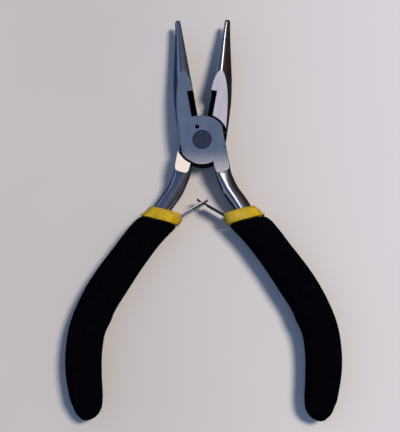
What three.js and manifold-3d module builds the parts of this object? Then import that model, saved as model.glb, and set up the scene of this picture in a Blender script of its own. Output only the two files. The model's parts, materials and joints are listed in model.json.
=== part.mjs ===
// Mini round nose pliers, about 130 mm long: two identical lap-joint halves on one flush rivet, pushed open
// by two hooked leaf springs, with a glossy sleeve and a soft grip over each handle's tang.
//
// Millimetres, +Z up, jaws towards +Y, handles towards -Y. The pliers lie on their grips on z = 0, open as
// their springs hold them. The origin is the centre of the bottom of their bounding box.
//
// Every piece is drawn closed, with the pivot at x = y = 0 and the steel's middle plane at z = 0, as the
// piece of the upper half, whose jaw is on the left and whose handle is on the right. The lower half is the
// same set of pieces turned half way round about Y.
import * as THREE from 'three';
import * as BufferGeometryUtils from 'three/addons/utils/BufferGeometryUtils.js';
import Module from 'manifold-3d';

const wasm = await Module();
wasm.setup();

// ---------------------------------------------------------------- driving dimensions, in mm and degrees
const HALF_OPEN = 10.25; // each half's turn away from closed, as the springs hold it
const JOINT_HALF_HEIGHT = 3.9; // the ground flats over and under the joint
const CHEEK_RADIUS = 7.6; // round end of each half's cheek
const CHEEK_HALF_WIDTH = 6.85; // its ground flanks
const SHOULDER_RADIUS = 8.05; // the other half's shoulder around that cheek
const SLIDING_GAP = 0.3; // between the two cheeks
const FIT_GAP = 0.3; // between pieces pushed over each other
const JAW_GAP = 0.05; // gripping face to middle plane, closed

const RIVET_RADIUS = 2.1;
const RIVET_HEAD_RADIUS = 2.9;
const RIVET_HEAD_DEPTH = 0.8;
const RIVET_RECESS = 0.05; // the rivet's faces stay just below the flats

const CUTTER_START = 7.6; // the side cutter's recess, from the cheek to the gripping face
const CUTTER_END = 15.8;
const CUTTER_DEPTH = 1.9; // how far its wall stands back from the cutting edge
const CUTTER_WALL_BOTTOM = 1.9; // height above the middle plane where the bevel meets that wall
const CUTTER_EDGE = 0.25; // half height of the cutting edge

const SLEEVE_WALL = 1.0;
const SLEEVE_TUBE_TOP = -26; // the tube is hidden in the collar above this
const SLEEVE_END = new THREE.Vector2(-0.45, -1.6); // how far the tube runs past the tang
const BORE_END = new THREE.Vector2(-0.55, -2); // how far the grip's bore runs past the tang
const BORE_MOUTH = new THREE.Vector2(-1.1, 2.4); // and past its top
const LEAF_POCKET = 0.95; // room in the sleeve on two sides of a leaf's root
const LEAF_POCKET_DEPTH = 4; // and how far the pocket reaches towards the other leaf and the jaws

const LEAF_ROOT = new THREE.Vector2(2.9, -24.2); // where each leaf spring leaves its sleeve
const LEAF_LEAN = 49.4; // the leaf's lean from +Y towards the other leaf, open
const LEAF_THICKNESS = 0.5;
const LEAF_HEIGHT = 5;
const LEAF_ROLL_RADIUS = 0.6; // rolled foot
const SLOT_START = 4.9; // distances along a leaf from its root
const SLOT_END = 9.15;
const SLOT_HEIGHT = 2.3;
const SLOTTED_LENGTH = 9.9;
const NECK_START = 6.9;
const NECK_END = 9.6;
const NECK_HEIGHT = 1.7;
const HEAD_END = 10.3;
const HEAD_HEIGHT = 3.6;

const REACH = 95; // further than any point of the pliers from the pivot
const ARM_RINGS = 24; // rings down an arm, a grip and a sleeve's tube
const GRIP_RINGS = 26;
const TUBE_RINGS = 12;
const ARM_SIDES = 16; // sides round each of them, a jaw and the turned parts
const GRIP_SIDES = 20;
const TUBE_SIDES = 14;
const JAW_SIDES = 28;
const JOINT_SIDES = 48;
const RIVET_SIDES = 24;
const ROLL_SIDES = 12;

const ROUND = 2; // section exponents: an ellipse, a soft rectangle and a sharp one
const SOFT = 2.6;
const SQUARE = 8;

// Stations down a jaw: distance from the pivot, the round section's middle, half width, half height.
const JAW_STATIONS = [
  [39.95, 0.85, 0.3, 0.3], [39.7, 0.83, 0.7, 0.7], [39.2, 0.8, 0.98, 1.0], [38.4, 0.78, 1.1, 1.18],
  [33.8, 1.05, 1.68, 1.95], [27.4, 1.6, 2.5, 3.0], [21.1, 2.1, 3.35, 4.2], [14.8, 2.45, 3.95, 5.7],
  [10, 2.55, 4.2, 7.2], [2, 2.75, 4.45, 10],
];

// Stations down an arm and its tang: x, y, section exponent, turn in degrees, half width, half height.
const ARM_STATIONS = [
  [4.4, -4, SQUARE, 0, 2.45, 4.4], [4.5, -9.3, SQUARE, 3, 2.4, 4.3], [4.7, -12.4, 4, 9, 2.4, 3.5],
  [5.8, -16.8, SOFT, 19, 2.5, 2.9], [7.55, -20.6, SOFT, 23, 2.5, 2.8], [8.95, -24, SOFT, 22, 2.45, 2.6],
];
const TANG_STATIONS = [
  [10.3, -27.5, SOFT, 24, 2.3, 2.2], [11.9, -31, SOFT, 24, 2.2, 2.1], [16, -39.1, SOFT, 25, 2.2, 2.1],
  [19.7, -47.2, SOFT, 22.5, 2.2, 2.1], [22.7, -55.1, SOFT, 17, 2.2, 2.1], [24.3, -63, SOFT, 5, 2.2, 2.1],
  [24, -70.3, SOFT, -7, 2.1, 2], [22.9, -76, SOFT, -13, 1.9, 1.8],
];

// Stations down a grip's outside, written the same way.
const GRIP_STATIONS = [
  [9, -26.9, SOFT, 5, 5.6, 4.5], [11.9, -31, SOFT, 24, 5.3, 4.8], [16, -39.1, SOFT, 25, 5.35, 4.9],
  [19.7, -47.2, SOFT, 22.5, 5.65, 4.9], [22.7, -55.1, SOFT, 17, 5.55, 4.9], [24.3, -63, SOFT, 5, 5.5, 4.9],
  [24, -70.3, SOFT, -7, 5.5, 4.9], [22.6, -77, SOFT, -14, 5.35, 4.8], [20.6, -83.3, SOFT, -16, 4.9, 4.4],
  [19.7, -86.3, ROUND, -10, 4.2, 3.7], [19.7, -88.6, ROUND, -3, 2.7, 2.3], [19.85, -89.8, ROUND, 0, 0.8, 0.8],
];

// The sleeve's collar, the same way.
const COLLAR_STATIONS = [
  [6.9, -23.2, SOFT, 5, 5.1, 3.75], [7.05, -23.5, SOFT, 5, 5.4, 4.1], [7.8, -25, SOFT, 5, 5.75, 4.45],
  [8.6, -26.3, SOFT, 5, 5.95, 4.5], [8.8, -26.6, SOFT, 5, 5.75, 4.3],
];

// ---------------------------------------------------------------- helpers
const radians = THREE.MathUtils.degToRad;

function bareGeometry(geometry) {
  const bare = geometry.index ? geometry.toNonIndexed() : geometry.clone();
  bare.deleteAttribute('normal');
  bare.deleteAttribute('uv');
  return BufferGeometryUtils.mergeVertices(bare, 1e-4);
}

function toSolid(geometry) {
  const bare = bareGeometry(geometry);
  const vertProperties = new Float32Array(bare.attributes.position.array);
  const triVerts = new Uint32Array(bare.index.array);
  return new wasm.Manifold(new wasm.Mesh({ numProp: 3, vertProperties, triVerts }));
}

function toGeometry(solid) {
  const mesh = solid.getMesh();
  const geometry = new THREE.BufferGeometry();
  geometry.setAttribute('position', new THREE.BufferAttribute(mesh.vertProperties, 3));
  geometry.setIndex(new THREE.BufferAttribute(mesh.triVerts, 1));
  return geometry;
}

// A box between two corners.
function boxSolid(low, high) {
  const size = high.map((value, axis) => value - low[axis]);
  const box = new THREE.BoxGeometry(...size);
  box.translate(...low.map((value, axis) => value + size[axis] / 2));
  return toSolid(box);
}

// An upright cylinder on the pivot between two heights.
function pivotCylinder(radius, low, high, sides) {
  const cylinder = new THREE.CylinderGeometry(radius, radius, high - low, sides);
  cylinder.rotateX(Math.PI / 2);
  cylinder.translate(0, 0, (low + high) / 2);
  return toSolid(cylinder);
}

// Smooth stations through a few given ones.
function smoothStations(keys, count) {
  const place = new THREE.CatmullRomCurve3(keys.map((key) => new THREE.Vector3(key[0], key[1], key[2])));
  const size = new THREE.CatmullRomCurve3(keys.map((key) => new THREE.Vector3(key[3], key[4], key[5])));
  return Array.from({ length: count }, (_, index) => {
    const share = index / (count - 1);
    return [...place.getPoint(share).toArray(), ...size.getPoint(share).toArray()];
  });
}

// One coordinate of a superellipse, from that of the unit circle.
function bulge(value, exponent) {
  return Math.abs(value) < 1e-9 ? 0 : Math.sign(value) * Math.abs(value) ** (2 / exponent);
}

// A cylinder whose rings are moved to the stations, each a superellipse across the turned X axis and Z.
function loft(stations, sides) {
  const rings = stations.length - 1;
  const geometry = new THREE.CylinderGeometry(1, 1, 1, sides, rings);
  const position = geometry.attributes.position;
  const vertex = new THREE.Vector3();
  for (let index = 0; index < position.count; index += 1) {
    vertex.fromBufferAttribute(position, index);
    const [x, y, exponent, turn, halfWidth, halfHeight] = stations[Math.round((0.5 - vertex.y) * rings)];
    const across = halfWidth * bulge(vertex.x, exponent);
    const up = halfHeight * bulge(vertex.z, exponent);
    const angle = radians(turn);
    position.setXYZ(index, x + across * Math.cos(angle), y + across * Math.sin(angle), up);
  }
  return toSolid(geometry);
}

function grown(stations, amount) {
  return stations.map(([x, y, exponent, turn, halfWidth, halfHeight]) => (
    [x, y, exponent, turn, halfWidth + amount, halfHeight + amount]
  ));
}

// ---------------------------------------------------------------- one steel half
// The arm and its tang, or the hollow that clears them by some amount.
function armStations(clearance) {
  return smoothStations(grown([...ARM_STATIONS, ...TANG_STATIONS], clearance), ARM_RINGS);
}

function jawSolid() {
  const stations = JAW_STATIONS.map(([y, middle, halfWidth, halfHeight]) => (
    [-middle, y, ROUND, 0, halfWidth, halfHeight]
  ));
  const round = loft(stations, JAW_SIDES);
  const kept = boxSolid([-CHEEK_HALF_WIDTH, 0, -JOINT_HALF_HEIGHT], [-JAW_GAP, REACH, JOINT_HALF_HEIGHT]);
  return round.intersect(kept);
}

// The recess over the cutting edge: a wall that stands back, then a bevel down to the edge.
function cutterRecess() {
  const over = JOINT_HALF_HEIGHT + 1;
  const outline = new THREE.Shape([
    new THREE.Vector2(-CUTTER_DEPTH, over),
    new THREE.Vector2(-CUTTER_DEPTH, CUTTER_WALL_BOTTOM),
    new THREE.Vector2(-JAW_GAP, CUTTER_EDGE),
    new THREE.Vector2(1, CUTTER_EDGE),
    new THREE.Vector2(1, over),
  ]);
  const depth = CUTTER_END - CUTTER_START;
  const recess = new THREE.ExtrudeGeometry(outline, { depth, bevelEnabled: false });
  recess.rotateX(Math.PI / 2);
  recess.translate(0, CUTTER_END, 0);
  return toSolid(recess);
}

function armSolid() {
  const kept = boxSolid([-REACH, -REACH, -JOINT_HALF_HEIGHT], [REACH, 0, JOINT_HALF_HEIGHT]);
  return loft(armStations(0), ARM_SIDES).intersect(kept);
}

function halfGeometry() {
  const top = JOINT_HALF_HEIGHT;
  const over = top + 1;
  const flanks = boxSolid([-CHEEK_HALF_WIDTH, -REACH, -top], [CHEEK_HALF_WIDTH, REACH, top]);
  const disc = pivotCylinder(CHEEK_RADIUS, -top, top, JOINT_SIDES).intersect(flanks);
  const otherCheek = pivotCylinder(SHOULDER_RADIUS, -over, SLIDING_GAP / 2, JOINT_SIDES);
  const bore = pivotCylinder(RIVET_RADIUS + FIT_GAP, -over, over, RIVET_SIDES);
  const seatFloor = top - RIVET_HEAD_DEPTH - FIT_GAP;
  const seat = pivotCylinder(RIVET_HEAD_RADIUS + FIT_GAP, seatFloor, over, RIVET_SIDES);
  const recessAbove = cutterRecess().subtract(pivotCylinder(CHEEK_RADIUS, -over, over, JOINT_SIDES));
  const recessBelow = cutterRecess().mirror([0, 0, 1]);
  return toGeometry(
    jawSolid().add(disc).add(armSolid())
      .subtract(otherCheek).subtract(bore).subtract(seat)
      .subtract(recessAbove).subtract(recessBelow),
  );
}

// ---------------------------------------------------------------- the rivet
function rivetGeometry() {
  const top = JOINT_HALF_HEIGHT - RIVET_RECESS;
  const neck = JOINT_HALF_HEIGHT - RIVET_HEAD_DEPTH;
  const profile = [
    new THREE.Vector2(0, -top),
    new THREE.Vector2(RIVET_HEAD_RADIUS, -top),
    new THREE.Vector2(RIVET_HEAD_RADIUS, -neck),
    new THREE.Vector2(RIVET_RADIUS, -neck),
    new THREE.Vector2(RIVET_RADIUS, neck),
    new THREE.Vector2(RIVET_HEAD_RADIUS, neck),
    new THREE.Vector2(RIVET_HEAD_RADIUS, top),
    new THREE.Vector2(0, top),
  ];
  const rivet = new THREE.LatheGeometry(profile, RIVET_SIDES);
  rivet.rotateX(Math.PI / 2);
  return bareGeometry(rivet);
}

// ---------------------------------------------------------------- the handle's sleeve and grip
// A station moved on by some amount, to carry a loft past its end.
function movedOn(station, by) {
  const [x, y, ...section] = station;
  return [x + by.x, y + by.y, ...section];
}

function sleeveGeometry() {
  const tube = smoothStations(grown(TANG_STATIONS, FIT_GAP + SLEEVE_WALL), TUBE_RINGS);
  tube.push(movedOn(tube[tube.length - 1], SLEEVE_END));
  const aboveCollar = boxSolid([-REACH, SLEEVE_TUBE_TOP, -REACH], [REACH, 0, REACH]);
  const pocketHeight = LEAF_HEIGHT / 2 + FIT_GAP;
  const leafPocket = boxSolid(
    [LEAF_ROOT.x - LEAF_POCKET_DEPTH, LEAF_ROOT.y - LEAF_POCKET, -pocketHeight],
    [LEAF_ROOT.x + LEAF_POCKET, LEAF_ROOT.y + LEAF_POCKET_DEPTH, pocketHeight],
  );
  return toGeometry(
    loft(COLLAR_STATIONS, GRIP_SIDES).add(loft(tube, TUBE_SIDES).subtract(aboveCollar))
      .subtract(loft(armStations(FIT_GAP), ARM_SIDES)).subtract(leafPocket),
  );
}

function gripGeometry() {
  const outside = loft(smoothStations(GRIP_STATIONS, GRIP_RINGS), GRIP_SIDES);
  const bore = smoothStations(grown(TANG_STATIONS, 2 * FIT_GAP + SLEEVE_WALL), TUBE_RINGS);
  bore.unshift(movedOn(bore[0], BORE_MOUTH));
  bore.push(movedOn(bore[bore.length - 1], BORE_END));
  return toGeometry(outside.subtract(loft(bore, TUBE_SIDES)));
}

// ---------------------------------------------------------------- the leaf springs
// A leaf stands on edge. Its outline is drawn with its length as x and its height as y, the root at 0.
function leafGeometry(outline) {
  const blade = new THREE.ExtrudeGeometry(outline, { depth: LEAF_THICKNESS, bevelEnabled: false });
  blade.translate(0, 0, -LEAF_THICKNESS / 2);
  blade.rotateX(Math.PI / 2);
  const roll = new THREE.CylinderGeometry(LEAF_ROLL_RADIUS, LEAF_ROLL_RADIUS, LEAF_HEIGHT, ROLL_SIDES);
  roll.rotateX(Math.PI / 2);
  const leaf = toGeometry(toSolid(blade).add(toSolid(roll)));
  leaf.rotateZ(Math.PI / 2);
  return leaf;
}

function slottedLeafGeometry() {
  const outline = new THREE.Shape([
    new THREE.Vector2(0, -LEAF_HEIGHT / 2),
    new THREE.Vector2(SLOTTED_LENGTH, -LEAF_HEIGHT / 2),
    new THREE.Vector2(SLOTTED_LENGTH, LEAF_HEIGHT / 2),
    new THREE.Vector2(0, LEAF_HEIGHT / 2),
  ]);
  outline.holes.push(new THREE.Path([
    new THREE.Vector2(SLOT_START, -SLOT_HEIGHT / 2),
    new THREE.Vector2(SLOT_START, SLOT_HEIGHT / 2),
    new THREE.Vector2(SLOT_END, SLOT_HEIGHT / 2),
    new THREE.Vector2(SLOT_END, -SLOT_HEIGHT / 2),
  ]));
  return leafGeometry(outline);
}

function hookedLeafGeometry() {
  const side = [
    [0, LEAF_HEIGHT], [NECK_START, LEAF_HEIGHT], [NECK_START, NECK_HEIGHT],
    [NECK_END, NECK_HEIGHT], [NECK_END, HEAD_HEIGHT], [HEAD_END, HEAD_HEIGHT],
  ];
  const lower = side.map(([along, height]) => new THREE.Vector2(along, -height / 2));
  const upper = side.map(([along, height]) => new THREE.Vector2(along, height / 2)).reverse();
  return leafGeometry(new THREE.Shape([...lower, ...upper]));
}

// ---------------------------------------------------------------- finishes
function polishedSteel() {
  return new THREE.MeshStandardMaterial({ color: 0xb9bcc6, roughness: 0.18, metalness: 1 });
}

function springSteel() {
  return new THREE.MeshStandardMaterial({ color: 0xa9a7a4, roughness: 0.3, metalness: 1 });
}

function glossyYellow() {
  return new THREE.MeshStandardMaterial({ color: 0xe2cf1f, roughness: 0.25, metalness: 0 });
}

function blackRubber() {
  return new THREE.MeshStandardMaterial({ color: 0x141416, roughness: 0.85, metalness: 0 });
}

// ---------------------------------------------------------------- assembly
function namedMesh(name, geometry, material) {
  const mesh = new THREE.Mesh(geometry, material);
  mesh.name = name;
  return mesh;
}

// One side's pieces, drawn closed: a steel half, and the sleeve and grip on its handle.
function halfPieces(halfName, handleName) {
  const pieces = new THREE.Group();
  pieces.add(namedMesh(halfName, halfGeometry(), polishedSteel()));
  pieces.add(namedMesh(`${handleName}_sleeve`, sleeveGeometry(), glossyYellow()));
  pieces.add(namedMesh(`${handleName}_grip`, gripGeometry(), blackRubber()));
  return pieces;
}

function placedLeaf(name, geometry, side) {
  const leaf = namedMesh(name, geometry, springSteel());
  leaf.position.set(side * LEAF_ROOT.x, LEAF_ROOT.y, 0);
  leaf.rotation.z = side * radians(LEAF_LEAN);
  return leaf;
}

function pliers() {
  const upper = new THREE.Group();
  upper.add(halfPieces('upper_half', 'right'));
  upper.add(placedLeaf('right_leaf_spring', hookedLeafGeometry(), 1));
  upper.rotation.z = radians(HALF_OPEN);

  const lower = new THREE.Group();
  const lowerPieces = halfPieces('lower_half', 'left');
  lowerPieces.rotation.y = Math.PI;
  lower.add(lowerPieces);
  lower.add(placedLeaf('left_leaf_spring', slottedLeafGeometry(), -1));
  lower.rotation.z = -radians(HALF_OPEN);

  const head = new THREE.Group();
  head.add(upper);
  head.add(lower);
  head.add(namedMesh('pivot_rivet', rivetGeometry(), springSteel()));
  head.updateMatrixWorld(true);
  const box = new THREE.Box3().setFromObject(head, true);
  const centre = box.getCenter(new THREE.Vector3());
  head.position.set(-centre.x, -centre.y, -box.min.z);

  const group = new THREE.Group();
  group.add(head);
  return group;
}

export default pliers();
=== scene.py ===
# %% [markdown]
# # Mini pliers with tapered jaws
# This lesson builds the visible model of small spring-loaded pliers. Each piece is then modelled finely,
# in millimetres, as it lies in the closed pliers, and placed by one matrix for its half.

# %% Load the frame
import json
import math

import bmesh
import bpy
import numpy as np
from mathutils import Matrix, Vector, noise


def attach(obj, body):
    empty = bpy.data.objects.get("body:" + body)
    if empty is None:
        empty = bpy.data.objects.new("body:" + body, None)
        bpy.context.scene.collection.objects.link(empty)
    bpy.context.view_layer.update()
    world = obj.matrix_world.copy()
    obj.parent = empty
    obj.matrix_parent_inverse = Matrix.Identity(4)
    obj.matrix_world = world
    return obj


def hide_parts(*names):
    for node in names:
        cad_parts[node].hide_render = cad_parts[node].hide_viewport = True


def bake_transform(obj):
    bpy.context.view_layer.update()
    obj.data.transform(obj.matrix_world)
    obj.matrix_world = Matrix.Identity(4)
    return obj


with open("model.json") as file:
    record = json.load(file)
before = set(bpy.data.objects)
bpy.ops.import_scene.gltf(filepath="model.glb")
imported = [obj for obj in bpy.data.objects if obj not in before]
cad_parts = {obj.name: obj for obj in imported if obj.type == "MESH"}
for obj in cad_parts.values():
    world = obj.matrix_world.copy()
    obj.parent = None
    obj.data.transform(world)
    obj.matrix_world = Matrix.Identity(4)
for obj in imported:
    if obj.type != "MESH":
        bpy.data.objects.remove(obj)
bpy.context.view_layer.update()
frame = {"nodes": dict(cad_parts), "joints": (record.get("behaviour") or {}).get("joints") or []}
print("frame nodes:", ", ".join(sorted(frame["nodes"])))

# %% [markdown]
# ## One half, used twice
# Lap-joint pliers are two identical forgings. The upper half has its jaw on the left and its handle on the
# right; the lower half is the same piece turned half way round about the long axis. So every piece is drawn
# for the upper half, closed, with the pivot at the origin and the steel's middle plane at z = 0. The pivot
# joint of the frame gives the place of the rivet and the angle that each half is opened by.

# %% Place the halves
MM = 0.001
joints = {joint["name"]: joint for joint in frame["joints"]}
pivot = Vector(joints["pivot"]["pos_m"])
half_open = -math.radians(joints["pivot"]["range_deg"][0]) / 2

upper_place = Matrix.Translation(pivot) @ Matrix.Rotation(half_open, 4, "Z") @ Matrix.Scale(MM, 4)
lower_place = (
    Matrix.Translation(pivot) @ Matrix.Rotation(-half_open, 4, "Z")
    @ Matrix.Rotation(math.pi, 4, "Y") @ Matrix.Scale(MM, 4)
)
print(f"each half is open by {math.degrees(half_open):.2f} degrees")

# %% [markdown]
# ## Sizes of the steel
# The joint is ground flat on both faces. A cheek is a round plate of half that height with ground flanks,
# and the other half's shoulder runs around it with a little clearance.

# %% Sizes of the steel
JOINT_TOP = 3.9
CHEEK_RADIUS = 7.6
CHEEK_FLANK = 6.85
SHOULDER_RADIUS = 8.05
SLIDING_GAP = 0.3
JAW_GAP = 0.05
CHAMFER = 0.16
DARK_FLANK = 4.0  # how far up and down the flanks the joint is painted near-black, milled steel with painted shade
OVER = 1  # how far a cutting tool runs past what it cuts
ROUND, SOFT, SQUARE = 2, 2.6, 8

# Down a jaw: distance from the pivot, middle of the round section, half width, half height.
JAW = [
    (39.95, 0.85, 0.3, 0.3), (39.7, 0.83, 0.7, 0.7), (39.2, 0.8, 0.98, 1.0), (38.4, 0.78, 1.1, 1.18),
    (33.8, 1.05, 1.68, 1.95), (27.4, 1.6, 2.5, 3.0), (21.1, 2.1, 3.35, 4.2), (14.8, 2.45, 3.95, 5.7),
    (10, 2.55, 4.2, 7.2), (2, 2.75, 4.45, 10),
]
# Down an arm and its tang: x, y, section exponent, turn in degrees, half width, half height.
ARM = [
    (4.4, -4, SQUARE, 0, 2.45, 4.4), (4.5, -9.3, SQUARE, 3, 2.4, 4.3), (4.7, -12.4, 4, 9, 2.4, 3.5),
    (5.8, -16.8, SOFT, 19, 2.5, 2.9), (7.55, -20.6, SOFT, 23, 2.5, 2.8), (8.95, -24, SOFT, 22, 2.45, 2.6),
]
TANG = [
    (10.3, -27.5, SOFT, 24, 2.3, 2.2), (11.9, -31, SOFT, 24, 2.2, 2.1), (16, -39.1, SOFT, 25, 2.2, 2.1),
    (19.7, -47.2, SOFT, 22.5, 2.2, 2.1), (22.7, -55.1, SOFT, 17, 2.2, 2.1), (24.3, -63, SOFT, 5, 2.2, 2.1),
    (24, -70.3, SOFT, -7, 2.1, 2), (22.9, -76, SOFT, -13, 1.9, 1.8),
]
print(f"joint {2 * JOINT_TOP:.1f} mm thick, jaws {JAW[0][0]:.1f} mm long")

# %% [markdown]
# ## Lofting through stations
# Jaws, arms and grips all change section along their length, so each is a loft: rings of points at smooth
# stations, joined by quads. A superellipse does for every section, from a plain ellipse to a soft
# rectangle. The stations run through the given ones on a centripetal spline, which never overshoots much.

# %% Smooth stations
def spline_point(keys, share):
    """A point at this share of the spline through the keys."""
    keys = np.asarray(keys, float)
    last = len(keys) - 1
    index = min(int(share * last), last - 1)
    weight = share * last - index
    here, there = keys[index], keys[index + 1]
    before = keys[index - 1] if index > 0 else 2 * here - there
    after = keys[index + 2] if index + 2 <= last else 2 * there - here
    first = max(np.linalg.norm(here - before), 1e-4) ** 0.5
    middle = max(np.linalg.norm(there - here), 1e-4) ** 0.5
    final = max(np.linalg.norm(after - there), 1e-4) ** 0.5
    leave = (here - before) / first - (there - before) / (first + middle) + (there - here) / middle
    arrive = (there - here) / middle - (after - here) / (middle + final) + (after - there) / final
    leave, arrive = leave * middle, arrive * middle
    square = 3 * (there - here) - 2 * leave - arrive
    cube = 2 * (here - there) + leave + arrive
    return here + leave * weight + square * weight ** 2 + cube * weight ** 3


def smooth_stations(keys, count, grow=0.0):
    """Evenly shared stations through the keys, each section grown by some amount."""
    places = [key[:3] for key in keys]
    sizes = [(key[3], key[4] + grow, key[5] + grow) for key in keys]
    shares = np.linspace(0, 1, count)
    return [(*spline_point(places, share), *spline_point(sizes, share)) for share in shares]


# %% Loft
def new_piece(name, builder):
    """An object from a bmesh, with its faces turned outwards."""
    bmesh.ops.recalc_face_normals(builder, faces=builder.faces)
    mesh = bpy.data.meshes.new(name)
    builder.to_mesh(mesh)
    builder.free()
    piece = bpy.data.objects.new(name, mesh)
    bpy.context.scene.collection.objects.link(piece)
    return piece


def bulge(value, exponent):
    """One coordinate of a superellipse, from that of the unit circle."""
    return 0.0 if abs(value) < 1e-9 else math.copysign(abs(value) ** (2 / exponent), value)


def section_ring(builder, station, sides):
    """The points round one superellipse section."""
    x, y, exponent, turn, half_width, half_height = station
    ring = []
    for step in range(sides):
        angle = 2 * math.pi * step / sides
        across = half_width * bulge(math.cos(angle), exponent)
        up = half_height * bulge(math.sin(angle), exponent)
        along = math.radians(turn)
        ring.append(builder.verts.new((x + across * math.cos(along), y + across * math.sin(along), up)))
    return ring


def bridge(builder, rings, closed=False):
    """Quads between each ring and the next."""
    pairs = list(zip(rings, rings[1:]))
    if closed:
        pairs.append((rings[-1], rings[0]))
    for first, second in pairs:
        for step in range(len(first)):
            after = (step + 1) % len(first)
            builder.faces.new((first[step], first[after], second[after], second[step]))


def loft(name, stations, sides):
    """A closed skin through a section at every station."""
    builder = bmesh.new()
    rings = [section_ring(builder, station, sides) for station in stations]
    bridge(builder, rings)
    builder.faces.new(rings[0])
    builder.faces.new(rings[-1])
    return new_piece(name, builder)


# %% [markdown]
# ## Prisms, turned solids and cutting
# The rest of the steel is made as a machinist would: extruded outlines and turned profiles that are joined
# to the lofts or cut from them. Each cut is a Boolean modifier whose result is kept as the new mesh.

# %% Prisms and turned solids
def prism(name, outline, low, high, along):
    """An outline extruded from low to high along X, Y or Z; its points give the other two coordinates."""
    builder = bmesh.new()
    ends = []
    for level in (low, high):
        ends.append([])
        for first, second in outline:
            point = {"x": (level, first, second), "y": (first, level, second), "z": (first, second, level)}
            ends[-1].append(builder.verts.new(point[along]))
    bridge(builder, ends)
    builder.faces.new(ends[0])
    builder.faces.new(ends[1])
    return new_piece(name, builder)


def box(name, low, high):
    """A block between two opposite corners."""
    outline = [(low[0], low[1]), (high[0], low[1]), (high[0], high[1]), (low[0], high[1])]
    return prism(name, outline, low[2], high[2], "z")


def turned(name, profile, sides, centre=(0, 0)):
    """A profile of radius and height, from the axis back to the axis, turned about an upright axis."""
    builder = bmesh.new()
    rings = []
    for radius, height in profile:
        if radius == 0:
            point = builder.verts.new((centre[0], centre[1], height))
            rings.append([point] * sides)
            continue
        angles = [2 * math.pi * step / sides for step in range(sides)]
        rings.append([
            builder.verts.new((
                centre[0] + radius * math.cos(angle), centre[1] + radius * math.sin(angle), height,
            ))
            for angle in angles
        ])
    for first, second in zip(rings, rings[1:]):
        for step in range(sides):
            after = (step + 1) % sides
            corners = dict.fromkeys((first[step], first[after], second[after], second[step]))
            builder.faces.new(list(corners))
    return new_piece(name, builder)


# %% Join and cut
def keep_result(piece):
    """Turns the piece's modifiers into its mesh."""
    graph = bpy.context.evaluated_depsgraph_get()
    made = bpy.data.meshes.new_from_object(piece.evaluated_get(graph))
    piece.modifiers.clear()
    old = piece.data
    piece.data = made
    bpy.data.meshes.remove(old)


def combine(piece, tool, operation):
    """UNION, DIFFERENCE or INTERSECT of a piece with a tool, which is used up."""
    modifier = piece.modifiers.new("combine", "BOOLEAN")
    modifier.operation = operation
    modifier.solver = "EXACT"
    modifier.object = tool
    keep_result(piece)
    bpy.data.objects.remove(tool)
    return piece


# %% [markdown]
# ## A jaw
# Each jaw is a cone cut by three planes: the two ground faces over and under it, which leave a pointed arch
# of flat where the cone rises through them, and the gripping face on the inside. Small teeth are milled
# across the gripping face, and next to the joint the face is relieved to a side cutter.

# %% Build a jaw
CUTTER = (7.6, 15.8)
CUTTER_DEPTH = 1.9
CUTTER_BEVEL = 1.9  # height of the bevel's top above the middle plane
CUTTER_EDGE = 0.25  # half the height of the cutting edge
TEETH = (17.0, 38.0)
TOOTH_PITCH = 0.75
TOOTH_DEPTH = 0.22
TOOTH_SLOPE = 0.62  # share of the pitch taken by a tooth's longer side


def flank_outline(low, high):
    """The joint's section across the pliers, with its edges broken."""
    top = JOINT_TOP
    return [
        (low, CHAMFER - top), (low + CHAMFER, -top), (high - CHAMFER, -top), (high, CHAMFER - top),
        (high, top - CHAMFER), (high - CHAMFER, top), (low + CHAMFER, top), (low, top - CHAMFER),
    ]


def tooth_comb():
    """A comb that mills the teeth: a zigzag of grooves along the gripping face."""
    crest = 0.02 - JAW_GAP
    outline = [(1.0, TEETH[0]), (crest, TEETH[0])]
    count = int((TEETH[1] - TEETH[0]) / TOOTH_PITCH)
    for tooth in range(count):
        start = TEETH[0] + tooth * TOOTH_PITCH
        outline.append((-JAW_GAP - TOOTH_DEPTH, start + TOOTH_SLOPE * TOOTH_PITCH))
        outline.append((crest, start + TOOTH_PITCH))
    outline.append((1.0, outline[-1][1]))
    return prism("tooth_comb", outline, -6, 6, "z")


def cutter_recess(side):
    """The relief over (side 1) or under (side -1) the cutting edge: a wall, then a bevel to the edge."""
    over = JOINT_TOP + OVER
    outline = [
        (-CUTTER_DEPTH, side * over), (-CUTTER_DEPTH, side * CUTTER_BEVEL), (-JAW_GAP, side * CUTTER_EDGE),
        (OVER, side * CUTTER_EDGE), (OVER, side * over),
    ]
    return prism("cutter_recess", outline, *CUTTER, "y")


def jaw():
    """The cone, its ground faces, the gripping face and its teeth."""
    spline = [spline_point(JAW, share) for share in np.linspace(0, 1, 90)]
    stations = [(-middle, y, ROUND, 0, width, height) for y, middle, width, height in spline]
    piece = loft("jaw", stations, 96)
    flanks = prism("jaw_flanks", flank_outline(-CHEEK_FLANK, 3), 0, 41, "y")
    combine(piece, flanks, "INTERSECT")
    combine(piece, box("gripping_plane", (-JAW_GAP, -1, -9), (9, 42, 9)), "DIFFERENCE")
    combine(piece, tooth_comb(), "DIFFERENCE")
    return piece


# %% [markdown]
# ## A cheek and an arm
# The cheek is a turned disc with broken edges and ground flanks. The arm leaves it as a square block, is
# ground flush with it, then necks down to a round bar that bends outwards to the handle. Its tang runs on
# inside the sleeve and grip, where it isn't seen.

# %% Build the whole half
RIVET_HEAD = 2.9
RIVET_SHANK = 2.1
RIVET_BORE = 2.3
RIVET_HEAD_DEPTH = 0.8
RIVET_SEAT_DEPTH = 1.1
RIVET_SINK = 0.04
HAIRLINE = 0.07
PUNCH_MARK = (-0.75, 4.2)
PUNCH_DEPTH = 0.8
PUNCH_RADIUS = 0.66


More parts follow.
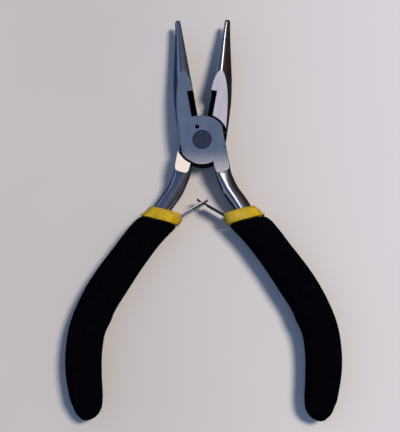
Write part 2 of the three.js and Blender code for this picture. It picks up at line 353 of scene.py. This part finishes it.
def cheek():
    """The round plate of the joint, with broken edges and ground flanks."""
    edge = CHEEK_RADIUS - CHAMFER
    top = JOINT_TOP
    profile = [(0, -top), (edge, -top), (CHEEK_RADIUS, CHAMFER - top), (CHEEK_RADIUS, top - CHAMFER),
               (edge, top), (0, top)]
    disc = turned("cheek", profile, 192)
    flanks = prism("cheek_flanks", flank_outline(-CHEEK_FLANK, CHEEK_FLANK), -9, 9, "y")
    return combine(disc, flanks, "INTERSECT")


def shoulder_tool():
    """Clears the other half's cheek: everything under the sliding face within the shoulder."""
    foot = JOINT_TOP + OVER
    broken = SHOULDER_RADIUS + CHAMFER
    profile = [(0, -foot), (broken, -foot), (broken, -JOINT_TOP), (SHOULDER_RADIUS, CHAMFER - JOINT_TOP),
               (SHOULDER_RADIUS, SLIDING_GAP / 2), (0, SLIDING_GAP / 2)]
    return turned("shoulder_tool", profile, 192)


def arm():
    """The bar from the joint to the end of the tang, ground flush with the joint's flats."""
    piece = loft("arm", smooth_stations([*ARM, *TANG], 130), 64)
    return combine(piece, box("ground_faces", (-1, -90, -JOINT_TOP), (45, 1, JOINT_TOP)), "INTERSECT")


def rivet_hole():
    """The shank's bore and the head's seat, from one side."""
    top, floor_of_seat, seat = JOINT_TOP + OVER, JOINT_TOP - RIVET_SEAT_DEPTH, RIVET_HEAD + HAIRLINE
    profile = [(0, -2), (RIVET_BORE, -2), (RIVET_BORE, floor_of_seat), (seat, floor_of_seat),
               (seat, top), (0, top)]
    return turned("rivet_hole", profile, 96)


def punch_tool():
    """A centre punch: a steep cone with a round point."""
    over = JOINT_TOP + OVER
    profile = [(0, JOINT_TOP - PUNCH_DEPTH), (0.35, JOINT_TOP - 0.8 * PUNCH_DEPTH),
               (PUNCH_RADIUS, JOINT_TOP), (PUNCH_RADIUS, over), (0, over)]
    return turned("punch_tool", profile, 32, PUNCH_MARK)


def half_shape(name):
    """Jaw, cheek and arm joined, then everything that is cut from them."""
    piece = jaw()
    piece.name = name
    cheek_space = turned("cheek_space", [(0, 0), (CHEEK_RADIUS, 0), (CHEEK_RADIUS, 6), (0, 6)], 192)
    upper_recess = combine(cutter_recess(1), cheek_space, "DIFFERENCE")
    combine(piece, cheek(), "UNION")
    combine(piece, arm(), "UNION")
    for tool in (shoulder_tool(), rivet_hole(), upper_recess, cutter_recess(-1), punch_tool()):
        combine(piece, tool, "DIFFERENCE")
    return piece


# %% [markdown]
# ## Finishes on the steel
# The forging is polished all over, then ground at the joint, so its flats are dull-ground with fine
# straight scratches and everything else is bright. Teeth are milled and darker. The cutter's relief, the
# punch mark and the joint's walls and step are milled and near-black: milled steel with painted shade where
# they lie hollow or between the halves. The two halves' colours carry painted light and shade: the lower
# one's flat is painted pale and the upper one's blue-grey, each fading paler towards the handles as painted
# light, and two steels share out the jaws and arms, a bright lit one and a darker, bluer copy painted as
# shade. One group of nodes is enough for every metal: a base colour that drifts a little, a roughness that
# drifts with it, and scratches as a fine bump.

# %% Metal
def add_node(tree, kind, **values):
    """A shader node with some of its properties or sockets set."""
    node = tree.nodes.new(kind)
    for name, value in values.items():
        if name in node.inputs:
            node.inputs[name].default_value = value
        else:
            setattr(node, name, value)
    return node


def stretched_noise(tree, scale, turn=0.0, detail=3.0):
    """Noise in object space with its own scale along each axis, per metre."""
    where = add_node(tree, "ShaderNodeTexCoord")
    mapping = add_node(tree, "ShaderNodeMapping")
    mapping.inputs["Scale"].default_value = scale
    mapping.inputs["Rotation"].default_value = (0, 0, math.radians(turn))
    grain = add_node(tree, "ShaderNodeTexNoise", Scale=1.0, Detail=detail)
    tree.links.new(where.outputs["Object"], mapping.inputs["Vector"])
    tree.links.new(mapping.outputs["Vector"], grain.inputs["Vector"])
    return grain.outputs["Fac"]


def spread(tree, factor, low, high):
    """Maps the middle of a noise to a range."""
    node = add_node(tree, "ShaderNodeMapRange")
    node.inputs["From Min"].default_value = 0.3
    node.inputs["From Max"].default_value = 0.7
    node.inputs["To Min"].default_value = low
    node.inputs["To Max"].default_value = high
    tree.links.new(factor, node.inputs["Value"])
    return node.outputs["Result"]


def colour_between(tree, factor, low, high):
    """A colour that follows the middle of a noise from low to high."""
    ramp = add_node(tree, "ShaderNodeValToRGB")
    ramp.color_ramp.elements[0].color = (*low, 1)
    ramp.color_ramp.elements[1].color = (*high, 1)
    ramp.color_ramp.elements[0].position = 0.3
    ramp.color_ramp.elements[1].position = 0.7
    tree.links.new(factor, ramp.inputs["Fac"])
    return ramp.outputs["Color"]


def mixed(tree, factor, first, second):
    """first where the factor is 0, second where it is 1; each a colour or a socket."""
    node = add_node(tree, "ShaderNodeMix", data_type="RGBA")
    sockets = [socket for socket in node.inputs if socket.type == "RGBA"]
    for socket, value in zip(sockets, (first, second)):
        if isinstance(value, tuple):
            socket.default_value = (*value, 1)
        else:
            tree.links.new(value, socket)
    tree.links.new(factor, node.inputs[0])
    return next(socket for socket in node.outputs if socket.type == "RGBA")


def fade_along(tree, axis, start, end):
    """0 to 1 between two places on an axis, in metres."""
    where = add_node(tree, "ShaderNodeTexCoord")
    split = add_node(tree, "ShaderNodeSeparateXYZ")
    tree.links.new(where.outputs["Object"], split.inputs["Vector"])
    fade = add_node(tree, "ShaderNodeMapRange", interpolation_type="SMOOTHSTEP")
    fade.inputs["From Min"].default_value = start
    fade.inputs["From Max"].default_value = end
    tree.links.new(split.outputs[axis], fade.inputs["Value"])
    return fade.outputs["Result"]


def finish(name, low, high, roughness, grain, grain_turn=0.0, bump=0.0, blotch=(350, 350, 350),
           painted_light_fade=None, **shader):
    """A material whose colour and roughness drift with a broad noise and whose bump is a finer one.

    The fade argument paints light or shade: the axis, start and end of a fade, and the colour and the share
    of metal beyond it."""
    material = bpy.data.materials.new(name)
    material.use_nodes = True
    tree = material.node_tree
    principled = tree.nodes["Principled BSDF"]
    for socket, value in shader.items():
        principled.inputs[socket.replace("_", " ")].default_value = value
    broad = stretched_noise(tree, blotch, grain_turn)
    colour = colour_between(tree, broad, low, high)
    # A fade of painted light or shade along one axis.
    if painted_light_fade:
        *where, painted_light_colour, painted_light_metal = painted_light_fade
        fade = fade_along(tree, *where)
        colour = mixed(tree, fade, colour, painted_light_colour)
        metal = add_node(tree, "ShaderNodeMapRange")
        metal.inputs["To Min"].default_value = shader.get("Metallic", 0.0)
        metal.inputs["To Max"].default_value = painted_light_metal
        tree.links.new(fade, metal.inputs["Value"])
        tree.links.new(metal.outputs["Result"], principled.inputs["Metallic"])
    tree.links.new(colour, principled.inputs["Base Color"])
    tree.links.new(spread(tree, broad, *roughness), principled.inputs["Roughness"])
    fine = stretched_noise(tree, grain, grain_turn, 5.0)
    raised = add_node(tree, "ShaderNodeBump", Strength=bump, Distance=0.0001)
    tree.links.new(fine, raised.inputs["Height"])
    tree.links.new(raised.outputs["Normal"], principled.inputs["Normal"])
    return material


bright = finish(
    "bright_steel", (0.60, 0.60, 0.61), (0.68, 0.68, 0.69), (0.13, 0.2),
    grain=(900, 120, 900), bump=0.06, blotch=(500, 90, 500), Metallic=1.0,
)
# The same polished steel painted darker and bluer, as painted shade, for the jaw and arm on the left;
# bright is the lit copy.
shaded_polish = finish(
    "polished_steel_painted_shade", (0.42, 0.46, 0.55), (0.49, 0.53, 0.62), (0.1, 0.15),
    grain=(1400, 160, 1400), bump=0.1, blotch=(500, 90, 500), Metallic=0.94,
)
# Painted light and shade in the ground flats: the upper one is painted darker blue-grey, the lower one
# pale, and both fade paler towards the handles as painted light.
upper_flat = finish(
    "ground_flat_upper", (0.38, 0.47, 0.62), (0.48, 0.57, 0.72), (0.3, 0.36),
    grain=(9000, 260, 2000), grain_turn=62, bump=0.2, blotch=(700, 200, 400), Metallic=0.84,
    painted_light_fade=("Y", pivot.y - 2.5 * MM, pivot.y - 9.5 * MM, (0.80, 0.70, 0.74), 0.55),
)
lower_flat = finish(
    "ground_flat_lower", (0.74, 0.70, 0.80), (0.84, 0.80, 0.88), (0.36, 0.44),
    grain=(9000, 260, 2000), grain_turn=8, bump=0.2, blotch=(700, 200, 400), Metallic=0.4,
    painted_light_fade=("Y", pivot.y + 4 * MM, pivot.y - 6 * MM, (1.0, 0.86, 0.76), 0.0),
)
# Near-black: milled steel, and painted shade in the joint, the cutter's relief and the punch mark.
milled_and_shade = finish(
    "milled_steel_and_painted_shade", (0.010, 0.010, 0.012), (0.03, 0.03, 0.034), (0.5, 0.65),
    grain=(4000, 900, 900), bump=0.3, Metallic=1.0,
)
toothed = finish(
    "toothed_face", (0.16, 0.16, 0.18), (0.24, 0.24, 0.26), (0.3, 0.42),
    grain=(4000, 900, 900), bump=0.2, Metallic=1.0,
)
steels = (bright, shaded_polish, upper_flat, lower_flat, milled_and_shade, toothed)
print("metal finishes:", ", ".join(steel.name for steel in steels))

# %% Paint the half by face
def steel_zone(face):
    """0 jaw, 1 ground flat, 2 milled, punched or painted shade in the joint, 3 toothed face, 4 arm, from
    where a face lies.
    """
    x, y, z = face.center
    facing = face.normal
    if abs(facing.z) > 0.995 and abs(abs(z) - JOINT_TOP) < 0.01:
        return 1
    in_recess = -CUTTER_DEPTH - 0.01 < x < 0 and CUTTER[0] - 0.3 < y < CUTTER[1] + 0.01
    in_punch = math.dist((x, y), PUNCH_MARK) < PUNCH_RADIUS + 0.04
    # The joint's walls, step and flanks near the pivot are painted near-black: painted shade between the
    # halves, on milled steel.
    in_joint_shade = math.hypot(x, y) < SHOULDER_RADIUS + 0.1 and abs(z) < JOINT_TOP - CHAMFER
    in_joint_shade = in_joint_shade and (abs(x) < CHEEK_FLANK - 0.4 or abs(y) < DARK_FLANK)
    if in_joint_shade or (in_recess or in_punch) and abs(z) < JOINT_TOP - 0.01:
        return 2
    if y > CUTTER[1] and x > -JAW_GAP - TOOTH_DEPTH - 0.01 and abs(facing.z) < 0.3 and facing.x > 0.2:
        return 3
    return 0 if y > 0 else 4


def split_flanks(piece):
    """Straight edges across the flanks, where the joint's painted shade and dark milling end."""
    builder = bmesh.new()
    builder.from_mesh(piece.data)
    for y in (-DARK_FLANK, DARK_FLANK):
        everything = [*builder.verts, *builder.edges, *builder.faces]
        bmesh.ops.bisect_plane(builder, geom=everything, plane_co=(0, y, 0), plane_no=(0, 1, 0))
    builder.to_mesh(piece.data)
    builder.free()


def shade(piece, angle=32):
    """Smooth shading, with edges kept where faces meet sharply or the finish changes."""
    mesh = piece.data
    mesh.polygons.foreach_set("use_smooth", [True] * len(mesh.polygons))
    mesh.set_sharp_from_angle(angle=math.radians(angle))
    owners = {}
    for face in mesh.polygons:
        for key in face.edge_keys:
            owners.setdefault(key, set()).add(face.material_index)
    for edge in mesh.edges:
        if len(owners.get(edge.key, ())) > 1:
            edge.use_edge_sharp = True


def steel_half(name, place, jaw_steel, flat, arm_steel, body, node):
    """One forging with a finish for each zone, put in its place on its body."""
    piece = half_shape(name)
    split_flanks(piece)
    mesh = piece.data
    for material in (jaw_steel, flat, milled_and_shade, toothed, arm_steel):
        mesh.materials.append(material)
    for face in mesh.polygons:
        face.material_index = steel_zone(face)
    shade(piece)
    mesh.transform(place)
    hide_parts(node)
    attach(piece, body)
    print(f"{name}: {len(mesh.polygons)} faces")
    return piece


# The jaw and arm on the left take the steel with painted shade, those on the right the bright, lit one.
steel_half("upper_steel", upper_place, shaded_polish, upper_flat, bright, "upper", "upper_half")
steel_half("lower_steel", lower_place, bright, lower_flat, shaded_polish, "lower", "lower_half")

# %% [markdown]
# ## The rivet
# One flush rivet holds the halves. Its head fills its seat but for a hairline, and its face is turned, so
# it shows as a darker disc with a faint ring. A turned profile is the natural way to make it.

# %% Build the rivet
rivet_finish = finish(
    "turned_rivet", (0.25, 0.27, 0.34), (0.29, 0.31, 0.385), (0.3, 0.38),
    grain=(3000, 3000, 3000), bump=0.12, blotch=(900, 900, 900), Metallic=1.0,
)


def rivet():
    """A shank between two heads; each head's face is dished a little in rings."""
    head, shank, top, neck = RIVET_HEAD, RIVET_SHANK, JOINT_TOP - RIVET_SINK, JOINT_TOP - RIVET_HEAD_DEPTH
    upper = [(shank, neck), (head, neck), (head, top - 0.1), (head - 0.1, top), (1.9, top - 0.03),
             (0.9, top - 0.07), (0, top - 0.08)]
    lower = [(radius, -height) for radius, height in reversed(upper)]
    piece = turned("rivet", [*lower, *upper], 96)
    piece.data.materials.append(rivet_finish)
    shade(piece)
    piece.data.transform(Matrix.Translation(pivot) @ Matrix.Scale(MM, 4))
    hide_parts("pivot_rivet")
    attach(piece, "lower")
    return piece


print("rivet faces:", len(rivet().data.polygons))

# %% [markdown]
# ## The leaf springs
# Two strips of spring steel stand on edge between the arms. One ends in a neck and T-head, which passes
# through a slot near the end of the other, so they hook together and push the handles apart. Both would be
# the same steel. They are given two finishes, pale on the left and dark on the right, as painted light and
# shade for how differently they catch the light, and their edges are painted nearly black as shade, all but
# the top outer edge, which is lit.

# %% Leaf sizes
LEAF_ROOT = (2.9, -24.2)
LEAF_HEIGHT = 5.0
LEAF_THICKNESS = 0.36
LEAF_ROLL = 0.55  # radius of the rolled foot
LEAF_STEP = 0.2
root_upper = Vector(joints["right_leaf_bend"]["pos_m"])
root_lower = Vector(joints["left_leaf_bend"]["pos_m"])
LEAF_LEAN = 49.4  # degrees from the long axis towards the other leaf, open
LEAF_CURL = 0.4  # radius of the slotted leaf's curled end
SLOT = (4.9, 9.15)  # from the leaf's root
SLOT_HALF_HEIGHT = 1.15
NECK = (6.9, 9.6)
NECK_HALF_HEIGHT = 0.85
HEAD_HALF_HEIGHT = 1.8
HALF_LEVELS = (LEAF_HEIGHT / 2, HEAD_HALF_HEIGHT, SLOT_HALF_HEIGHT, NECK_HALF_HEIGHT)
LEVELS = [-level for level in HALF_LEVELS] + [0] + list(reversed(HALF_LEVELS))

pale_strip = finish(
    "spring_strip_pale", (0.55, 0.51, 0.55), (0.70, 0.66, 0.70), (0.3, 0.4),
    grain=(600, 600, 6000), bump=0.15, blotch=(500, 500, 200), Metallic=0.15,
)
dark_strip = finish(
    "spring_strip_dark", (0.09, 0.075, 0.075), (0.15, 0.13, 0.135), (0.35, 0.45),
    grain=(600, 600, 6000), bump=0.15, blotch=(500, 500, 200), Metallic=0.8,
)
# Edges painted nearly black as shade.
shaded_edge = finish(
    "spring_edge_painted_shade", (0.03, 0.022, 0.022), (0.06, 0.045, 0.045), (0.4, 0.5),
    grain=(3000, 3000, 3000), bump=0.2, blotch=(500, 500, 200), Metallic=0.9,
)


# %% Build the leaf springs
def slotted_height(along):
    """Half heights of steel at a distance along the slotted leaf: from the slot, if any, to the edge."""
    return (SLOT_HALF_HEIGHT if SLOT[0] <= along <= SLOT[1] else 0.0), LEAF_HEIGHT / 2


def hooked_height(along):
    """The same for the hooked leaf: full height, a neck, then the T-head."""
    if along < NECK[0]:
        return 0.0, LEAF_HEIGHT / 2
    return 0.0, (NECK_HALF_HEIGHT if along < NECK[1] else HEAD_HALF_HEIGHT)


def leaf_path(along, length):
    """A point and its side direction on the leaf's middle line, which curls over past its length."""
    if along <= length:
        return Vector((along, 0)), Vector((0, 1))
    turn = (along - length) / LEAF_CURL
    middle = Vector((length, -LEAF_CURL))
    side = Vector((math.sin(turn), math.cos(turn)))
    return middle + side * LEAF_CURL, side


def strip_cells(heights, lines):
    """The cells, by step and level, that a strip has steel in."""
    cells = set()
    for step, (start, end) in enumerate(zip(lines, lines[1:])):
        inner, outer = heights((start + end) / 2)
        for level, (low, high) in enumerate(zip(LEVELS, LEVELS[1:])):
            if inner < abs(low + high) / 2 < outer:
                cells.add((step, level))
    return cells


def cell_walls(step, level, cells):
    """The two ends of each of a cell's edges that no other cell shares."""
    here, up, on, both = (step, level), (step, level + 1), (step + 1, level), (step + 1, level + 1)
    edges = {(step - 1, level): (here, up), on: (on, both), (step, level - 1): (here, on), up: (up, both)}
    return [ends for neighbour, ends in edges.items() if neighbour not in cells]


def leaf_strip(name, heights, length, curl_length):
    """A strip on edge from cells along its length and height, with walls round every gap."""
    whole = length + curl_length
    count = round(whole / LEAF_STEP)
    lines = [step * whole / count for step in range(count + 1)]
    cells = strip_cells(heights, lines)
    builder = bmesh.new()
    points = {}

    def corner(step, level, side):
        key = (step, level, side)
        if key not in points:
            place, out = leaf_path(lines[step], length)
            place = place + out * side * LEAF_THICKNESS / 2
            points[key] = builder.verts.new((place.x, place.y, LEVELS[level]))
        return points[key]

    for step, level in sorted(cells):
        for side in (-1, 1):
            around = ((step, level), (step + 1, level), (step + 1, level + 1), (step, level + 1))
            builder.faces.new([corner(*place, side) for place in around])
        for first, second in cell_walls(step, level, cells):
            wall = ((first, -1), (first, 1), (second, 1), (second, -1))
            builder.faces.new([corner(*place, side) for place, side in wall])
    return new_piece(name, builder)


def in_painted_shade(face):
    """The strip's edges painted nearly black as shade, all but the outer edge that lies uppermost, which
    stays lit.
    """
    return face.normal.z < -0.3 or (face.normal.z > 0.3 and abs(face.center.z) < LEAF_HEIGHT / 2 - 0.1)


def leaf_roll():
    """The rolled foot that the leaf stands in its sleeve by."""
    top = LEAF_HEIGHT / 2
    half = [(LEAF_ROLL, top - 0.1), (LEAF_ROLL - 0.05, top), (0, top)]
    return turned("leaf_roll", [(radius, -height) for radius, height in reversed(half)] + half, 32)


def leaf_spring(name, heights, length, curl_length, side, strip):
    """side is 1 for the right leaf, on the upper half, and -1 for the left one, on the lower half."""
    piece = leaf_strip(name, heights, length, curl_length)
    rounding = piece.modifiers.new("broken_edges", "BEVEL")
    rounding.width = 0.07
    rounding.segments = 2
    rounding.limit_method = "ANGLE"
    keep_result(piece)
    combine(piece, leaf_roll(), "UNION")
    piece.data.materials.append(strip)
    piece.data.materials.append(shaded_edge)
    for face in piece.data.polygons:
        face.material_index = int(in_painted_shade(face))
    shade(piece)
    root = root_upper if side > 0 else root_lower
    angle = math.radians(90 + side * LEAF_LEAN) + side * half_open
    flip = Matrix.Scale(side, 4, Vector((0, 1, 0)))
    place = Matrix.Translation(root) @ Matrix.Rotation(angle, 4, "Z") @ Matrix.Scale(MM, 4) @ flip
    piece.data.transform(place)
    if side < 0:
        piece.data.flip_normals()
    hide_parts("right_leaf_spring" if side > 0 else "left_leaf_spring")
    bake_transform(piece)
    print(f"{name}: {len(piece.data.polygons)} faces")
    return piece


leaf_spring("hooked_leaf", hooked_height, 10.3, 0.0, 1, dark_strip)
leaf_spring("slotted_leaf", slotted_height, 9.7, 0.9, -1, pale_strip)

# %% [markdown]
# ## The yellow sleeves
# A hard, glossy sleeve covers each tang. Only its collar shows, a plump ring between steel and grip, with a
# corner cut away where the leaf spring comes out. It is lofted, bored to the arm, and its tube runs on down
# inside the grip.

# %% Build the sleeves
COLLAR = [
    (6.9, -23.2, SOFT, 5, 5.05, 3.7), (6.94, -23.27, SOFT, 5, 5.25, 3.92),
    (7.05, -23.5, SOFT, 5, 5.38, 4.1), (7.8, -25.0, SOFT, 5, 5.73, 4.45),
    (8.52, -26.2, SOFT, 5, 5.93, 4.5), (8.7, -26.5, SOFT, 5, 5.9, 4.45),
    (8.8, -26.6, SOFT, 5, 5.74, 4.28),
]
SLEEVE_WALL = 1.3
ARM_FIT = 0.06  # the sleeve's clearance around the steel
LEAF_POCKET = 0.65  # room behind and beside the leaf's rolled foot
LEAF_POCKET_HALF_HEIGHT = 2.7

yellow_plastic = finish(
    "glossy_yellow", (0.40, 0.25, 0.004), (0.66, 0.44, 0.016), (0.22, 0.34),
    grain=(1500, 1500, 1500), bump=0.1, blotch=(420, 420, 420), Coat_Weight=0.25, Coat_Roughness=0.25,
)


def leaf_pocket():
    """The corner of the collar that is cut away, open towards the jaws and the other leaf."""
    x, y = LEAF_ROOT
    outline = [(x + 0.6, y - LEAF_POCKET), (x + 0.6, y + 2), (x - 4, y + 2), (x - 4, y - 0.2),
               (x - 0.6, y - LEAF_POCKET)]
    return prism("leaf_pocket", outline, -LEAF_POCKET_HALF_HEIGHT, LEAF_POCKET_HALF_HEIGHT, "z")


def sleeve(name, place, body, node):
    """A collar and the hidden tube below it, with room for the leaf and the steel."""
    piece = loft(name, smooth_stations(COLLAR, 40), 96)
    tube = loft("tube", smooth_stations(TANG, 60, SLEEVE_WALL), 48)
    combine(tube, box("above_collar", (0, -26, -9), (30, -10, 9)), "DIFFERENCE")
    combine(piece, tube, "UNION")
    combine(piece, leaf_pocket(), "DIFFERENCE")
    combine(piece, loft("tang_space", smooth_stations([*ARM, *TANG], 130, ARM_FIT), 64), "DIFFERENCE")
    piece.data.materials.append(yellow_plastic)
    shade(piece, 40)
    piece.data.transform(place)
    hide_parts(node)
    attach(piece, body)
    print(f"{name}: {len(piece.data.polygons)} faces")
    return piece


sleeve("right_collar", upper_place, "upper", "right_sleeve")
sleeve("left_collar", lower_place, "lower", "left_sleeve")

# %% [markdown]
# ## The grips
# Soft black rubber grips are pushed over the sleeves. They bow outwards, are flattened where they lie, and
# end in a blunt point. The rim at the top is crisp, and on the inside there is a slight corner where the
# tang bends. A loft gives the body; then every point is moved by that corner and by a slow unevenness.

# %% Build the grips
GRIP = [
    (9, -26.9, SOFT, 5, 5.6, 4.5), (11.9, -31, SOFT, 24, 5.3, 4.8),
    (16, -39.1, SOFT, 25, 5.35, 4.9), (19.7, -47.2, SOFT, 22.5, 5.65, 4.9),
    (22.7, -55.1, SOFT, 17, 5.55, 4.9), (24.3, -63, SOFT, 5, 5.5, 4.9),
    (24, -70.3, SOFT, -7, 5.5, 4.9), (22.6, -77, SOFT, -14, 5.35, 4.8),
    (20.6, -83.3, SOFT, -16, 4.9, 4.4), (19.7, -86.3, ROUND, -10, 4.2, 3.7),
    (19.7, -88.6, ROUND, -3, 2.7, 2.3), (19.85, -89.8, ROUND, 0, 0.8, 0.8),
]
RIM_RADIUS = 0.35
RIM_STEPS = 5
INNER_CORNER = (18.4, -59.3)  # the slight corner where the tang bends

black_rubber = finish(
    "black_rubber", (0.0008, 0.0006, 0.0016), (0.0018, 0.0014, 0.0032), (0.62, 0.8),
    grain=(5200, 5200, 5200), bump=0.4, blotch=(500, 500, 500), Specular_IOR_Level=0.03,
)


def rim_stations(stations):
    """The loft's first station, replaced by a few that round its rim."""
    x, y, exponent, turn, width, height = stations[0]
    rim = []
    for step in range(RIM_STEPS):
        angle = math.radians(90 * step / RIM_STEPS)
        inset = RIM_RADIUS * (1 - math.sin(angle))
        drop = RIM_RADIUS * (1 - math.cos(angle))
        rim.append((x + 0.3 * drop, y - drop, exponent, turn, width - inset, height - inset))
    return [*rim, *stations[2:]]


def soften(piece):
    """The corner on the inner side, and a slow unevenness that never leaves the outline."""
    for vertex in piece.data.vertices:
        x, y, z = vertex.co
        inner, below = INNER_CORNER[0] - x, y - INNER_CORNER[1]
        if abs(below) < 8 and abs(inner) < 2.5:
            near = math.exp(-(below / 2.4) ** 2) * math.exp(-(inner / 1.6) ** 2)
            vertex.co.x -= 0.32 * near
        slow = noise.noise(Vector((x, y, z)) * 0.35) - 0.6
        vertex.co += vertex.normal * 0.05 * slow


def grip(name, place, body, node):
    """One grip: the outside, softened, less the bore that its sleeve's tube fills."""
    outside = rim_stations(smooth_stations(GRIP, 150))
    piece = loft(name, outside, 112)
    soften(piece)
    bore = smooth_stations(TANG, 60, SLEEVE_WALL + 0.12)
    first, last = bore[0], bore[-1]
    bore.insert(0, (first[0] - 1.1, first[1] + 2.4, *first[2:]))
    bore.append((last[0] - 0.55, last[1] - 2, *last[2:]))
    combine(piece, loft("bore", bore, 48), "DIFFERENCE")
    piece.data.materials.append(black_rubber)
    shade(piece, 40)
    piece.data.transform(place)
    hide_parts(node)
    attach(piece, body)
    print(f"{name}: {len(piece.data.polygons)} faces")
    return piece


grip("right_handle_grip", upper_place, "upper", "right_grip")
grip("left_handle_grip", lower_place, "lower", "left_grip")

# %% [markdown]
# ## Floor, light and camera
# The pliers lie on a plain pale floor. One broad, far light, like a window on the right, lights the matte
# pieces, and a blue sky from the left fills its shadows. Polished steel shows its surroundings instead, so
# it gets its own: bands of the world's colour that only reflections see, from a blue wall on the left to a
# dim warm one on the right, and a strip close over the right jaw and arm for the bright line along each.

# %% Floor
def floor():
    """A large sheet whose colour is painted paler towards the window, as painted light where the light is
    stronger.
    """
    builder = bmesh.new()
    bmesh.ops.create_grid(builder, x_segments=1, y_segments=1, size=1.5)
    piece = new_piece("floor", builder)
    piece.data.materials.append(finish(
        "pale_floor", (0.60, 0.565, 0.555), (0.615, 0.585, 0.58), (0.7, 0.8),
        grain=(900, 900, 900), bump=0.05, blotch=(26, 26, 26),
        painted_light_fade=("X", -0.04, 0.07, (0.77, 0.735, 0.745), 0.0),
    ))
    piece.visible_glossy = False


floor()

# %% Lamps
def lamp(name, place, aim, size, radiance, colour):
    """A rectangular lamp of some size, at a place in metres and facing a point, by its brightness."""
    data = bpy.data.lights.new(name, "AREA")
    data.shape = "RECTANGLE"
    data.size, data.size_y = size
    data.energy = radiance * math.pi * size[0] * size[1]
    data.color = colour
    source = bpy.data.objects.new(name, data)
    source.location = place
    source.rotation_mode = "QUATERNION"
    source.rotation_quaternion = (Vector(place) - Vector(aim)).to_track_quat("Z", "Y")
    source.visible_camera = False
    bpy.context.scene.collection.objects.link(source)
    return source


def key_light(direction, strength, spread_degrees, colour):
    """A broad, far light, like a window across the room. The steel's own reflections are set apart."""
    data = bpy.data.lights.new("key", "SUN")
    data.energy = strength
    data.angle = math.radians(spread_degrees)
    data.color = colour
    source = bpy.data.objects.new("key", data)
    source.rotation_mode = "QUATERNION"
    source.rotation_quaternion = Vector(direction).to_track_quat("Z", "Y")
    source.visible_glossy = False
    bpy.context.scene.collection.objects.link(source)


def ridge_light(name, start, end, width, aim, radiance):
    """A strip close over a piece of steel, facing the way of aim. It is seen only as the long highlight
    along the ridge."""
    start, end, aim = Vector(start) * MM, Vector(end) * MM, Vector(aim)
    middle = (start + end) / 2
    size = (width * MM, (end - start).length)
    source = lamp(name, middle, middle + aim, size, radiance, (1, 1, 1))
    along = (end - start).normalized()
    back = -aim.normalized()
    back = (back - along * back.dot(along)).normalized()
    side = along.cross(back)
    source.rotation_quaternion = Matrix((side, along, back)).transposed().to_quaternion()
    source.visible_diffuse = False
    source.visible_shadow = False


key_light((0.46, 0.21, 0.86), 2.74, 15, (1.0, 0.92, 0.80))
ridge_light("jaw_ridge", (9.2, 58, 35), (8.6, 86, 35), 15.0, (0.87, 0, -0.49), 3.6)
ridge_light("arm_ridge", (5.2, 15, 35), (9.2, 0, 35), 5.0, (0.3, 0, -0.95), 2.0)

# %% World
def ramp_node(tree, factor, stops):
    """A colour ramp over a factor from its (position, colour) stops."""
    node = add_node(tree, "ShaderNodeValToRGB")
    elements = node.color_ramp.elements
    while len(elements) < len(stops):
        elements.new(0.5)
    for element, (position, colour) in zip(elements, stops):
        element.position = position
        element.color = (*colour, 1)
    tree.links.new(factor, node.inputs["Fac"])
    return node.outputs["Color"]


def share_between(tree, value, low=-1.0, high=1.0):
    """0 to 1 as a value goes from low to high, which may be the smaller one."""
    node = add_node(tree, "ShaderNodeMapRange")
    node.inputs["From Min"].default_value = low
    node.inputs["From Max"].default_value = high
    tree.links.new(value, node.inputs["Value"])
    return node.outputs["Result"]


def room_light():
    """Wall bands across the room for reflections, a soft sky for matte pieces, grey behind everything."""
    world = bpy.data.worlds.new("room")
    world.use_nodes = True
    bpy.context.scene.world = world
    tree = world.node_tree
    direction = add_node(tree, "ShaderNodeTexCoord").outputs["Generated"]
    split = add_node(tree, "ShaderNodeSeparateXYZ")
    tree.links.new(direction, split.inputs["Vector"])
    across = share_between(tree, split.outputs["X"])
    walls = ramp_node(tree, across, [
        (0.0, (0.2, 0.29, 0.46)), (0.06, (0.27, 0.36, 0.53)), (0.12, (0.16, 0.21, 0.34)),
        (0.2, (0.06, 0.08, 0.165)), (0.38, (0.055, 0.075, 0.155)), (0.5, (0.125, 0.145, 0.235)),
        (0.62, (0.1, 0.095, 0.12)), (0.78, (0.05, 0.04, 0.045)), (0.9, (0.035, 0.025, 0.024)),
    ])
    table = ramp_node(tree, across, [(0.3, (0.012, 0.025, 0.06)), (0.8, (0.03, 0.02, 0.018))])
    behind = share_between(tree, split.outputs["Y"], -0.8, -0.95)
    walls = mixed(tree, behind, walls, (0.75, 0.75, 0.8))
    reflected = mixed(tree, share_between(tree, split.outputs["Z"], -0.05, 0.2), table, walls)
    ambient = ramp_node(tree, across, [(0.0, (0.24, 0.35, 0.58)), (1.0, (0.06, 0.07, 0.10))])
    kind = add_node(tree, "ShaderNodeLightPath")
    lighting = mixed(tree, kind.outputs["Is Glossy Ray"], ambient, reflected)
    seen = mixed(tree, kind.outputs["Is Camera Ray"], lighting, (0.58, 0.55, 0.57))
    tree.links.new(seen, tree.nodes["Background"].inputs["Color"])


room_light()

# %% Camera
LENS = 83.75
CAMERA_PLACE = (16, -66, 310)  # from the point of the floor under the pivot
CAMERA_TARGET = (-0.84, -23.16, 5)


def camera():
    """Above the pliers and a little towards the handles, as someone looks down on a table."""
    data = bpy.data.cameras.new("camera")
    data.sensor_width = 36
    data.lens = LENS
    view = bpy.data.objects.new("camera", data)
    place = pivot.xy.to_3d() + Vector(CAMERA_PLACE) * MM
    target = pivot.xy.to_3d() + Vector(CAMERA_TARGET) * MM
    back = (place - target).normalized()
    right = Vector((0, 1, 0)).cross(back).normalized()
    turn = Matrix((right, back.cross(right), back)).transposed()
    view.matrix_world = Matrix.Translation(place) @ turn.to_4x4()
    bpy.context.scene.collection.objects.link(view)
    bpy.context.scene.camera = view
    return (place - target).length


print(f"camera {camera():.3f} m away")
bpy.context.scene.view_settings.view_transform = "Standard"
